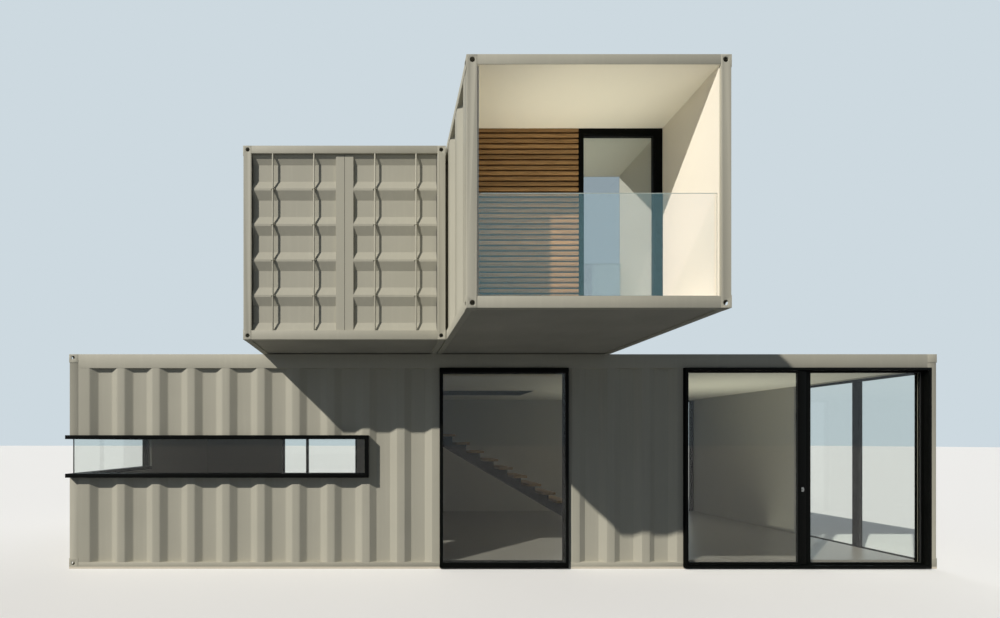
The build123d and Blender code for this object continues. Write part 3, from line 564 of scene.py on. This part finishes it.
FINISHES = {
    "box_paint": marine_paint,
    "rod_paint": marine_paint,
    "black_frame": powder_coat,
    "glass": float_glass,
    "guard": coated_glass,
    "solar": solar_glass,
    "edge": ground_glass,
    "tile": stoneware,
    "lining": warm_white_board,
    "room": grey_board,
    "underside": underseal,
    "floor": polished_screed,
    "concrete": cast_concrete,
    "slat_wood": slat_timber,
    "stair_wood": tread_timber,
    "lock_metal": satin_steel,
    "seal": rubber,
}
# Nodes whose finish is not the plain one of their material slot
OWN_FINISHES = {
    "terrace_guard_glass": "guard",
    "terrace_door_glass": "solar",
    "front_lining": "room",
    "back_lining": "room",
    "left_lining": "room",
    "right_lining": "room",
}
made_finishes = {}


def coat(piece, name):
    """Gives a whole piece one finish. The material of a finish is made once."""
    maker = FINISHES[name]
    if maker not in made_finishes:
        made_finishes[maker] = maker(bpy.context.scene.house_colours)
    piece.data.materials.clear()
    piece.data.materials.append(made_finishes[maker])


def select_only(*pieces):
    """Selects these pieces and nothing else, and makes the first one active."""
    bpy.ops.object.select_all(action="DESELECT")
    for piece in pieces:
        piece.select_set(True)
    bpy.context.view_layer.objects.active = pieces[0]


def added(operator, **settings):
    """Adds a primitive, a lamp or the camera with nothing else selected."""
    bpy.ops.object.select_all(action="DESELECT")
    operator(**settings)
    return bpy.context.object


def apply_place():
    """Moves the selected piece's place, turn and scale into its mesh."""
    bpy.ops.object.transform_apply(location=True, rotation=True, scale=True)


def apply_modifier(piece, kind, **settings):
    """Adds a modifier with its settings and applies it."""
    made = piece.modifiers.new(kind.title(), kind)
    for name, value in settings.items():
        setattr(made, name, value)
    select_only(piece)
    bpy.ops.object.modifier_apply(modifier=made.name)


def settle(piece, name, finish_name, body="house"):
    """Gives a finished piece its name, finish and body, with its place in its mesh."""
    select_only(piece)
    apply_place()
    bpy.ops.object.shade_smooth_by_angle(angle=SMOOTH_TURN)
    piece.name = name
    piece.data.name = name
    coat(piece, finish_name)
    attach(piece, body)
    return piece


def body_for(node):
    """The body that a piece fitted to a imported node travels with."""
    return "sliding_leaf" if node.startswith("sliding_leaf") else "house"


def join(pieces):
    """Joins pieces into the first one."""
    select_only(*pieces)
    if len(pieces) > 1:
        bpy.ops.object.join()
    return bpy.context.object


def merged_copy(node):
    """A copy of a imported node's mesh, with its loose triangles merged into plain faces."""
    piece = bpy.data.objects.new(node + "_copy", frame["nodes"][node].data.copy())
    bpy.context.scene.collection.objects.link(piece)
    select_only(piece)
    bpy.ops.object.mode_set(mode="EDIT")
    bpy.ops.mesh.select_all(action="SELECT")
    bpy.ops.mesh.customdata_custom_splitnormals_clear()
    bpy.ops.mesh.remove_doubles(threshold=MERGE_DISTANCE)
    bpy.ops.mesh.dissolve_limited(angle_limit=FLAT_TURN)
    bpy.ops.object.mode_set(mode="OBJECT")
    return piece


def solid_boxes(node):
    """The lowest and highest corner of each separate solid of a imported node, from left to right."""
    shape = bmesh.new()
    shape.from_mesh(frame["nodes"][node].data)
    bmesh.ops.remove_doubles(shape, verts=shape.verts, dist=MERGE_DISTANCE)
    waiting = set(shape.verts)
    boxes = []
    while waiting:
        reached = [waiting.pop()]
        for vertex in reached:
            for edge in vertex.link_edges:
                other = edge.other_vert(vertex)
                if other in waiting:
                    waiting.remove(other)
                    reached.append(other)
        corners = [[vertex.co[axis] for vertex in reached] for axis in range(3)]
        boxes.append((Vector([min(c) for c in corners]), Vector([max(c) for c in corners])))
    shape.free()
    return sorted(boxes, key=lambda pair: tuple(round(value, LEVEL_PLACES) for value in pair[0]))


def round_edges(piece, radius, least_turn=SHARP_TURN):
    """Rounds every edge of a piece that turns more than this."""
    apply_modifier(
        piece, "BEVEL", width=radius, segments=2, limit_method="ANGLE", angle_limit=least_turn
    )


def bar(low, high, radius):
    """A straight bar between two opposite corners, with rounded edges."""
    middle = [(a + b) / 2 for a, b in zip(low, high)]
    piece = added(bpy.ops.mesh.primitive_cube_add, size=1, location=middle)
    piece.scale = [b - a for a, b in zip(low, high)]
    apply_place()
    round_edges(piece, radius)
    return piece


def pin(radius, length, middle, sides, turn=(0, 0, 0)):
    """A round or six-sided pin with broken edges."""
    size = {"vertices": sides, "radius": radius, "depth": length}
    piece = added(bpy.ops.mesh.primitive_cylinder_add, **size, location=middle, rotation=turn)
    apply_place()
    rounding = min(radius, length) / 8
    round_edges(piece, rounding, least_turn=PIN_RIM_TURN)
    return piece


def moved_copy(piece, way):
    """A copy of a piece with its own mesh, moved."""
    select_only(piece)
    bpy.ops.object.duplicate()
    bpy.ops.transform.translate(value=way)
    return bpy.context.object


def number_boards(boards):
    """Gives each board its own number between 0 and 1, which its finish reads."""
    for place, board in enumerate(boards):
        own = board.data.attributes.new("board", "FLOAT", "POINT")
        share = (place * GOLDEN_SHARE) % 1
        own.data.foreach_set("value", [share] * len(board.data.vertices))


class HOUSE_OT_finishes(bpy.types.Operator):
    """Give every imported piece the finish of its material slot"""

    bl_idname = "house.finishes"
    bl_label = "Finish Packed Pieces"

    def execute(self, context):
        for part in frame["record"]["subparts"]:
            name = part["node"]
            coat(frame["nodes"][name], OWN_FINISHES.get(name, part["material_slot"]))
        return {"FINISHED"}


class HOUSE_OT_steel_edges(bpy.types.Operator):
    """Round the edges of posts, castings and rails"""

    bl_idname = "house.steel_edges"
    bl_label = "Posts and Rails"

    def execute(self, context):
        for name in sorted(frame["nodes"]):
            if not name.endswith(("corner_posts", "_rails")):
                continue
            piece = merged_copy(name)
            round_edges(piece, context.scene.house_sizes.edge_radius)
            settle(piece, name + "_rounded", "box_paint")
            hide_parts(name)
        return {"FINISHED"}


class HOUSE_OT_pressed_sheets(bpy.types.Operator):
    """Round the folds of the corrugated sheets"""

    bl_idname = "house.pressed_sheets"
    bl_label = "Corrugated Sheets"

    def execute(self, context):
        radius = context.scene.house_sizes.fold_radius
        for name in sorted(frame["nodes"]):
            if "panels" not in name and not name.endswith(("_piers", "box_walls")):
                continue
            piece = merged_copy(name)
            self.mark_folds(piece)
            apply_modifier(piece, "BEVEL", width=radius, segments=3, limit_method="WEIGHT")
            settle(piece, name + "_folded", "box_paint")
            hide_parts(name)
        return {"FINISHED"}

    def mark_folds(self, piece):
        """Gives bevel weight to the upright edges between two slanted or flat strips."""
        weights = piece.data.attributes.new("bevel_weight_edge", "FLOAT", "EDGE")
        shape = bmesh.new()
        shape.from_mesh(piece.data)
        for edge in shape.edges:
            way = (edge.verts[1].co - edge.verts[0].co).normalized()
            if abs(way.z) > UPRIGHT and len(edge.link_faces) == 2:
                is_fold = LEAST_FOLD < edge.calc_face_angle() < MOST_FOLD
                weights.data[edge.index].value = 1.0 if is_fold else 0.0
        shape.free()


class HOUSE_OT_slats(bpy.types.Operator):
    """Lay the terrace wall's slats in front of their backing"""

    bl_idname = "house.slats"
    bl_label = "Terrace Slats"

    def execute(self, context):
        sizes = context.scene.house_sizes
        low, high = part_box("slat_screen")
        reach = (high.x, low.y + sizes.slat_depth, high.z)
        highest = bar((low.x, low.y, high.z - sizes.slat_height), reach, sizes.board_radius)
        boards = [highest]
        drop = sizes.slat_pitch
        while high.z - drop - sizes.slat_height > low.z:
            boards.append(moved_copy(highest, (0, 0, -drop)))
            drop += sizes.slat_pitch
        number_boards(boards)
        piece = settle(join(boards), "terrace_slats", "slat_wood")
        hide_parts("slat_screen")
        backing = bar((low.x, low.y + sizes.slat_depth, low.z), high, sizes.board_radius)
        settle(backing, "terrace_slat_backing", "seal")
        return {"FINISHED"}


class HOUSE_OT_treads(bpy.types.Operator):
    """Lay the stair's treads"""

    bl_idname = "house.treads"
    bl_label = "Stair Treads"

    def execute(self, context):
        radius = context.scene.house_sizes.board_radius
        treads = [bar(low, high, radius) for low, high in solid_boxes("stair_treads")]
        number_boards(treads)
        piece = settle(join(treads), "timber_treads", "stair_wood")
        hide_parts("stair_treads")
        return {"FINISHED"}


class HOUSE_OT_window_frames(bpy.types.Operator):
    """Round the edges of window and door frames"""

    bl_idname = "house.window_frames"
    bl_label = "Window Frames"

    def execute(self, context):
        for part in frame["record"]["subparts"]:
            name = part["node"]
            if part["material_slot"] != "black_frame" or name == "stair_spine":
                continue
            piece = merged_copy(name)
            round_edges(piece, context.scene.house_sizes.frame_radius)
            settle(piece, name + "_rounded", "black_frame", body_for(name))
            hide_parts(name)
        return {"FINISHED"}


class HOUSE_OT_pane_seals(bpy.types.Operator):
    """Press a rubber seal round both sides of every pane but the ribbon window's and the guard's"""

    bl_idname = "house.pane_seals"
    bl_label = "Pane Seals"

    def execute(self, context):
        sizes = context.scene.house_sizes
        for name in sorted(frame["nodes"]):
            if not name.endswith("_glass") or name in ("ribbon_window_glass", "terrace_guard_glass"):
                continue
            rings = []
            for low, high in solid_boxes(name):
                rings.append(self.ring(low, high, low, -sizes.seal_depth / 2, sizes))
                rings.append(self.ring(low, high, high, sizes.seal_depth / 2, sizes))
            settle(join(rings), name.replace("_glass", "_seals"), "seal", body_for(name))
        return {"FINISHED"}

    def ring(self, low, high, face, out, sizes):
        """One seal round a pane with these corners, this far out from one of its two faces."""
        size = high - low
        axis = min(range(3), key=lambda each: size[each])
        middle = (low + high) / 2
        middle[axis] = face[axis] + out
        turn = (QUARTER_TURN, 0, QUARTER_TURN if axis == 0 else 0)
        piece = added(bpy.ops.mesh.primitive_plane_add, size=1, location=middle, rotation=turn)
        piece.scale = (size[1 - axis], size.z, 1)
        apply_place()
        bpy.ops.object.mode_set(mode="EDIT")
        bpy.ops.mesh.select_all(action="SELECT")
        bpy.ops.mesh.inset(thickness=sizes.seal_width, depth=0)
        bpy.ops.mesh.delete(type="FACE")
        bpy.ops.object.mode_set(mode="OBJECT")
        apply_modifier(piece, "SOLIDIFY", thickness=sizes.seal_depth, offset=0.0)
        rounding = sizes.seal_depth / 3
        round_edges(piece, rounding)
        return piece


class HOUSE_OT_lock_rods(bpy.types.Operator):
    """Stand the round lock rods in their clamps on the cargo doors"""

    bl_idname = "house.lock_rods"
    bl_label = "Lock Rods"

    def execute(self, context):
        sizes = context.scene.house_sizes
        packed = solid_boxes("left_box_lock_rods")
        levels = self.clamp_levels(*packed[0])
        pieces = []
        for low, high in packed:
            middle = (low + high) / 2
            rod_y = low.y + sizes.rod_radius
            place = (middle.x, rod_y, middle.z)
            pieces.append(pin(sizes.rod_radius, high.z - low.z, place, ROUND_SIDES))
            for level in levels:
                pieces += self.clamp((middle.x, rod_y, level), high.y, sizes)
        piece = settle(join(pieces), "round_lock_rods", "rod_paint")
        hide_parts("left_box_lock_rods")
        return {"FINISHED"}

    def clamp_levels(self, low, high):
        """The heights of the clamps on one packed rod, read from where it is widest."""
        middle = (low.x + high.x) / 2
        half = (high.x - low.x) / 2
        points = [vertex.co for vertex in frame["nodes"]["left_box_lock_rods"].data.vertices]
        widest = [point for point in points if abs(abs(point.x - middle) - half) < LEVEL_TOLERANCE]
        heights = sorted({round(point.z, LEVEL_PLACES) for point in widest})
        return [(under + over) / 2 for under, over in zip(heights[::2], heights[1::2])]

    def clamp(self, place, door_y, sizes):
        """One clamp: a flat foot on the door, a strap round the rod and two bolts."""
        x, rod_y, level = place
        half = sizes.clamp_width / 2
        rise = sizes.clamp_height / 2
        foot = bar((x - half, rod_y, level - rise), (x + half, door_y, level + rise), SMALL_EDGE)
        strap = pin(sizes.rod_radius + STRAP_WALL, sizes.clamp_height, place, ROUND_SIDES)
        bolts = []
        for side in (-1, 1):
            at = (x + side * (half - BOLT_INSET), rod_y - BOLT_STAND, level)
            bolts.append(pin(BOLT_RADIUS, BOLT_LENGTH, at, BOLT_SIDES, turn=(QUARTER_TURN, 0, 0)))
        return [foot, strap, *bolts]


class HOUSE_OT_door_gaskets(bpy.types.Operator):
    """Press a rubber gasket round each cargo door"""

    bl_idname = "house.door_gaskets"
    bl_label = "Cargo Door Gaskets"

    def execute(self, context):
        left_low, left_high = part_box("left_box_door_left")
        right_low, right_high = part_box("left_box_door_right")
        gap = right_low.x - left_high.x
        outer = (left_low.x - gap, right_high.x + gap)
        rise = (left_low.z - gap, left_high.z + gap)
        near = left_low.y + GASKET_INSET
        far = near + context.scene.house_sizes.gasket_depth
        strips = []
        for start in (outer[0], left_high.x, right_high.x):
            strips.append(bar((start, near, rise[0]), (start + gap, far, rise[1]), SMALL_EDGE))
        for under in (rise[0], left_high.z):
            reach = (outer[1] - gap, far, under + gap)
            strips.append(bar((outer[0] + gap, near, under), reach, SMALL_EDGE))
        settle(join(strips), "cargo_door_gaskets", "seal")
        return {"FINISHED"}


class HOUSE_OT_weld_beads(bpy.types.Operator):
    """Lay weld beads where the corrugated sheets meet the rails"""

    bl_idname = "house.weld_beads"
    bl_label = "Weld Beads"

    def execute(self, context):
        radius = context.scene.house_sizes.weld_radius
        beads = []
        for name in ("front_piers", "end_wall_panels", "back_panels", "left_box_walls", "right_box_walls"):
            low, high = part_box(name)
            for level in (low.z, high.z):
                beads.append(self.bead(name, level, radius))
        settle(join(beads), "weld_beads", "box_paint")
        return {"FINISHED"}

    def bead(self, name, level, radius):
        """A round bead along the edges of a sheet at one height."""
        piece = merged_copy(name)
        shape = bmesh.new()
        shape.from_mesh(piece.data)
        inner = []
        for edge in shape.edges:
            if any(abs(vertex.co.z - level) >= LEVEL_TOLERANCE for vertex in edge.verts):
                inner.append(edge)
        bmesh.ops.delete(shape, geom=shape.faces[:], context="FACES_ONLY")
        bmesh.ops.delete(shape, geom=inner, context="EDGES")
        shape.to_mesh(piece.data)
        shape.free()
        select_only(piece)
        bpy.ops.object.convert(target="CURVE")
        piece = bpy.context.object
        piece.data.bevel_depth = radius
        piece.data.bevel_resolution = 1
        bpy.ops.object.convert(target="MESH")
        return bpy.context.object


class HOUSE_OT_glass_fittings(bpy.types.Operator):
    """Seal the ribbon window's corner and hold the glass guard in its channel"""

    bl_idname = "house.glass_fittings"
    bl_label = "Glass Fittings"

    def execute(self, context):
        sizes = context.scene.house_sizes
        low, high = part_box("ribbon_window_glass")
        proud = sizes.joint_width / 8
        corner = (low.x - proud, low.y - proud, low.z)
        reach = (low.x + sizes.joint_width, low.y + sizes.joint_width, high.z)
        settle(bar(corner, reach, SMALL_EDGE), "ribbon_corner_joint", "seal")
        low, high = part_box("terrace_guard_glass")
        top = low.z + sizes.channel_height
        cheeks = []
        for near, far in ((low.y - CHEEK_WALL, low.y), (high.y, high.y + CHEEK_WALL)):
            cheeks.append(bar((low.x, near, low.z), (high.x, far, top), SMALL_EDGE))
        settle(join(cheeks), "guard_channel", "black_frame")
        # A pale strip along the guard's top edge. Its colour is a painted highlight, and it lets light
        # through, so it casts no shadow.
        corner = (low.x, low.y - GUARD_EDGE_PROUD, high.z - GUARD_EDGE_HEIGHT)
        reach = (high.x, high.y + GUARD_EDGE_PROUD, high.z + GUARD_EDGE_PROUD)
        settle(bar(corner, reach, SMALL_EDGE), "guard_top_highlight", "edge")
        return {"FINISHED"}


class HOUSE_OT_terrace_tiles(bpy.types.Operator):
    """Lay the tiles of the terrace"""

    bl_idname = "house.terrace_tiles"
    bl_label = "Terrace Tiles"

    def execute(self, context):
        sizes = context.scene.house_sizes
        low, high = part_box("terrace_guard_glass")
        front = high.y + 2 * sizes.tile_joint
        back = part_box("slat_screen")[0].y - sizes.tile_joint
        across = round((high.x - low.x) / sizes.tile_size)
        deep = round((back - front) / sizes.tile_size)
        step_x = (high.x - low.x) / across
        step_y = (back - front) / deep
        half_joint = sizes.tile_joint / 2
        corner = (low.x + half_joint, front + half_joint, low.z)
        reach = (low.x + step_x - half_joint, front + step_y - half_joint, low.z + sizes.tile_thickness)
        first = bar(corner, reach, SMALL_EDGE)
        tiles = [first]
        for column in range(across):
            for row in range(deep):
                if column or row:
                    tiles.append(moved_copy(first, (column * step_x, row * step_y, 0)))
        number_boards(tiles)
        settle(join(tiles), "terrace_tiles", "tile")
        return {"FINISHED"}


class HOUSE_OT_stage(bpy.types.Operator):
    """Set up the floor, the light and the camera"""

    bl_idname = "house.stage"
    bl_label = "Stage"

    def execute(self, context):
        stage = context.scene.house_stage
        self.lay_floor(stage)
        self.light_house(stage)
        self.light_rooms(stage)
        self.light_world(context, stage)
        self.aim(context, stage)
        return {"FINISHED"}

    def lay_floor(self, stage):
        """A large matt floor that looks pale, throws up little light and shows the house's shadow."""
        floor = added(bpy.ops.mesh.primitive_plane_add, size=2 * stage.floor_reach, location=(0, 0, 0))
        floor.name = "studio_floor"
        made, tree, _, shader = new_material("studio_floor")
        lit, seen = opaque(linear("5D6166")), opaque(linear("F1F1F0"))
        tones = {"Factor": any_ray(tree, SEEN_RAYS), "A": lit, "B": seen}
        tone = add_node(tree, "ShaderNodeMix", tones, data_type="RGBA")
        feed(tree, shader, {"Base Color": tone.outputs["Result"], "Roughness": 0.95})
        floor.data.materials.append(made)

    def sun(self, name, way, strength, width, tint):
        """A lamp far away. A wide one is as soft as a large panel, and isn't seen itself."""
        lamp = added(bpy.ops.object.light_add, type="SUN", location=(0, 0, LAMP_HEIGHT))
        lamp.name = name
        lamp.data.energy = strength
        lamp.data.angle = width
        lamp.data.color = linear(tint)
        lamp.rotation_euler = Vector(way).to_track_quat("-Z", "Y").to_euler()
        if width > WIDE_LAMP:
            lamp.visible_camera = lamp.visible_glossy = lamp.visible_transmission = False

    def floor_panel(self, name, middle, reach, power, spread):
        """A soft panel that lies on a floor, lights the ceiling over it and isn't seen itself."""
        turn = (2 * QUARTER_TURN, 0, 0)
        lamp = added(bpy.ops.object.light_add, type="AREA", location=middle, rotation=turn)
        lamp.name = name
        lamp.data.shape = "RECTANGLE"
        lamp.data.size, lamp.data.size_y = reach
        lamp.data.spread = spread
        lamp.data.energy = power
        lamp.data.color = linear("F8FAEA")
        lamp.visible_camera = lamp.visible_glossy = lamp.visible_transmission = False

    def light_house(self, stage):
        """A low sun, a wide soft lamp beside it and another one behind the house."""
        self.sun("main_light", stage.sun_way, stage.sun_strength, stage.sun_angle, tint="FFFAF2")
        beside, behind = (2.55, 1.9, -1.1), (-1.6, -2.6, -1.6)
        self.sun("soft_light", beside, stage.glow, width=radians(85), tint="D6E4F6")
        self.sun("back_light", behind, stage.back_light, width=radians(60), tint="FFFFFF")

    def light_rooms(self, stage):
        """A soft panel on the terrace's floor, and one in the room behind the sliding door."""
        low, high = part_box("terrace_guard_glass")
        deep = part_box("slat_screen")[0].y - high.y
        middle = ((low.x + high.x) / 2, high.y + deep / 2, low.z + PANEL_LIFT)
        reach = (TERRACE_PANEL_WIDTH_SHARE * (high.x - low.x), TERRACE_PANEL_DEPTH_SHARE * deep)
        self.floor_panel("terrace_light", middle, reach, stage.terrace_lamp, spread=radians(75))
        low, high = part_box("sliding_door_frame")
        floor_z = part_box("ground_floor")[1].z
        middle = ((low.x + high.x) / 2, high.y + ROOM_PANEL_INSET, floor_z + PANEL_LIFT)
        reach = (high.x - low.x, ROOM_PANEL_DEPTH)
        self.floor_panel("room_light", middle, reach, stage.room_lamp, spread=radians(110))

    def light_world(self, context, stage):
        """A world that lights all sides a little and looks pale itself."""
        world = bpy.data.worlds.new("studio_world")
        context.scene.world = world
        world.use_nodes = True
        tree = world.node_tree
        tree.nodes.clear()
        sky, backdrop = opaque(linear("C0D5F2")), opaque(linear("CDD9E0"))
        fill = add_node(tree, "ShaderNodeBackground", {"Color": sky, "Strength": stage.fill})
        pale = add_node(tree, "ShaderNodeBackground", {"Color": backdrop, "Strength": 1.0})
        ways = {0: any_ray(tree, SEEN_RAYS), 1: fill.outputs["Background"], 2: pale.outputs["Background"]}
        both = add_node(tree, "ShaderNodeMixShader", ways)
        add_node(tree, "ShaderNodeOutputWorld", {"Surface": both.outputs["Shader"]})

    def aim(self, context, stage):
        """The camera, level and square to the front, with its lens shifted."""
        turn = (QUARTER_TURN, 0, 0)
        camera = added(bpy.ops.object.camera_add, location=stage.eye, rotation=turn)
        camera.name = "photo_camera"
        camera.data.sensor_width = SENSOR_WIDTH
        camera.data.lens = stage.lens
        camera.data.shift_x, camera.data.shift_y = stage.shift
        camera.data.clip_end = CLIP_REACHES * stage.floor_reach
        context.scene.camera = camera
        context.scene.view_settings.view_transform = "Standard"


class HOUSE_PT_panel(bpy.types.Panel):
    """Lists the settings and the steps that dress the house"""

    bl_label = "Container House"
    bl_idname = "HOUSE_PT_panel"
    bl_space_type = "VIEW_3D"
    bl_region_type = "UI"
    bl_category = "House"

    def draw(self, context):
        layout = self.layout
        for group in (context.scene.house_colours, context.scene.house_sizes, context.scene.house_stage):
            box = layout.box()
            for name in group.__annotations__:
                box.prop(group, name)
        for step in STEPS:
            layout.operator(step.bl_idname)


GROUPS = (HouseColours, HouseSizes, HouseStage)
STEPS = (
    HOUSE_OT_finishes,
    HOUSE_OT_steel_edges,
    HOUSE_OT_pressed_sheets,
    HOUSE_OT_window_frames,
    HOUSE_OT_pane_seals,
    HOUSE_OT_slats,
    HOUSE_OT_treads,
    HOUSE_OT_lock_rods,
    HOUSE_OT_door_gaskets,
    HOUSE_OT_weld_beads,
    HOUSE_OT_glass_fittings,
    HOUSE_OT_terrace_tiles,
    HOUSE_OT_stage,
)


def register():
    """Registers the settings, the steps and the panel."""
    for each in (*GROUPS, *STEPS, HOUSE_PT_panel):
        bpy.utils.register_class(each)
    bpy.types.Scene.house_colours = PointerProperty(type=HouseColours)
    bpy.types.Scene.house_sizes = PointerProperty(type=HouseSizes)
    bpy.types.Scene.house_stage = PointerProperty(type=HouseStage)


def unregister():
    """Takes everything out again."""
    del bpy.types.Scene.house_stage
    del bpy.types.Scene.house_sizes
    del bpy.types.Scene.house_colours
    for each in (HOUSE_PT_panel, *reversed(STEPS), *reversed(GROUPS)):
        bpy.utils.unregister_class(each)


def main():
    """Dresses the house step by step."""
    register()
    for step in STEPS:
        group, name = step.bl_idname.split(".")
        getattr(getattr(bpy.ops, group), name)()


if __name__ == "__main__":
    main()
